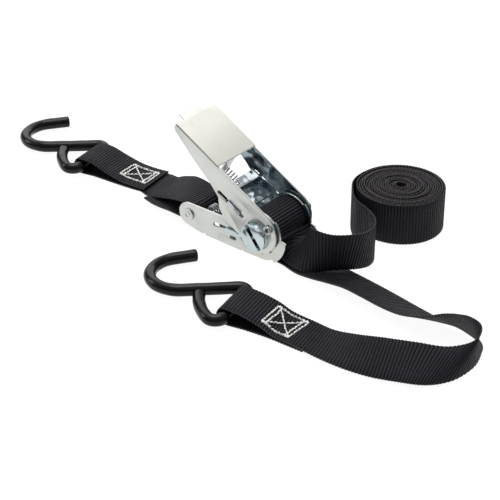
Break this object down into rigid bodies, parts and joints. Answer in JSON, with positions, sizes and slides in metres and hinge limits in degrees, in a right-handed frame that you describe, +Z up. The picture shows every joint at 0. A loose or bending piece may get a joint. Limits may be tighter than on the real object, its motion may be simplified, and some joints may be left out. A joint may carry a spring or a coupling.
{
  "type": "ratchet tie-down strap",
  "caption": "Ratchet tie-down strap with a folding steel handle, two vinyl-coated hooks on webbing loops and a rolled tail.",
  "frame": {"origin": "centre of the whole object's footprint on the table it lies on", "axes": "+X along the ratchet's frame from its fixed axle to its spindle, +Y along the spindle towards the roll, +Z up from the table"},
  "size_m": [0.3766, 0.1858, 0.0692],
  "materials": {
    "zinc": "zinc-plated, satin",
    "cover": "pale zinc-plated, satin",
    "spring": "bright wire",
    "webbing": "woven polyester, ribbed",
    "vinyl": "glossy dipped vinyl"
  },
  "bodies": {
    "base": {"frame": "zinc", "fixed_axle": "zinc", "axle_sleeve": "zinc", "base_pawl_spring": "spring", "short_strap": "webbing", "load_strap": "webbing", "tail_strap": "webbing", "strap_roll": "webbing"},
    "handle": {"handle": "zinc", "handle_cover": "cover", "handle_pawl_spring": "spring"},
    "handle_pawl": {"handle_pawl": "zinc"},
    "base_pawl": {"base_pawl": "zinc"},
    "spindle": {"spindle_half_a": "zinc", "spindle_half_b": "zinc", "ratchet_wheel_near": "zinc", "ratchet_wheel_far": "zinc", "split_pin_near": "zinc", "split_pin_far": "zinc", "wound_webbing": "webbing"},
    "rear_hook": {"rear_hook_core": "zinc", "rear_hook_coating": "vinyl"},
    "front_hook": {"front_hook_core": "zinc", "front_hook_coating": "vinyl"}
  },
  "joints": [
    {"name": "handle_swing", "type": "hinge", "parent": "base", "child": "handle", "pos_m": [0.03153, -0.00222, 0.016], "axis": [0, 1, 0], "range_deg": [-22, 88]},
    {"name": "spindle_turn", "type": "hinge", "parent": "base", "child": "spindle", "pos_m": [0.03153, -0.00222, 0.016], "axis": [0, 1, 0], "continuous": true},
    {"name": "handle_pawl_slide", "type": "slide", "parent": "handle", "child": "handle_pawl", "axis": [-0.866, 0, 0.5], "range_m": [0, 0.006], "stiffness_N_per_m": 300, "springref_m": -0.004, "deforming": ["handle_pawl_spring"]},
    {"name": "base_pawl_slide", "type": "slide", "parent": "base", "child": "base_pawl", "axis": [-1, 0, 0], "range_m": [0, 0.003], "stiffness_N_per_m": 300, "springref_m": -0.004, "deforming": ["base_pawl_spring"]},
    {"name": "rear_hook_swing", "type": "hinge", "parent": "base", "child": "rear_hook", "pos_m": [-0.12207, 0.00918, 0.0054], "axis": [-0.1564, 0.9877, 0], "range_deg": [0, 70]},
    {"name": "front_hook_swing", "type": "hinge", "parent": "base", "child": "front_hook", "pos_m": [0.05803, -0.07032, 0.0054], "axis": [-0.1908, 0.9816, 0], "range_deg": [0, 70]}
  ]
}
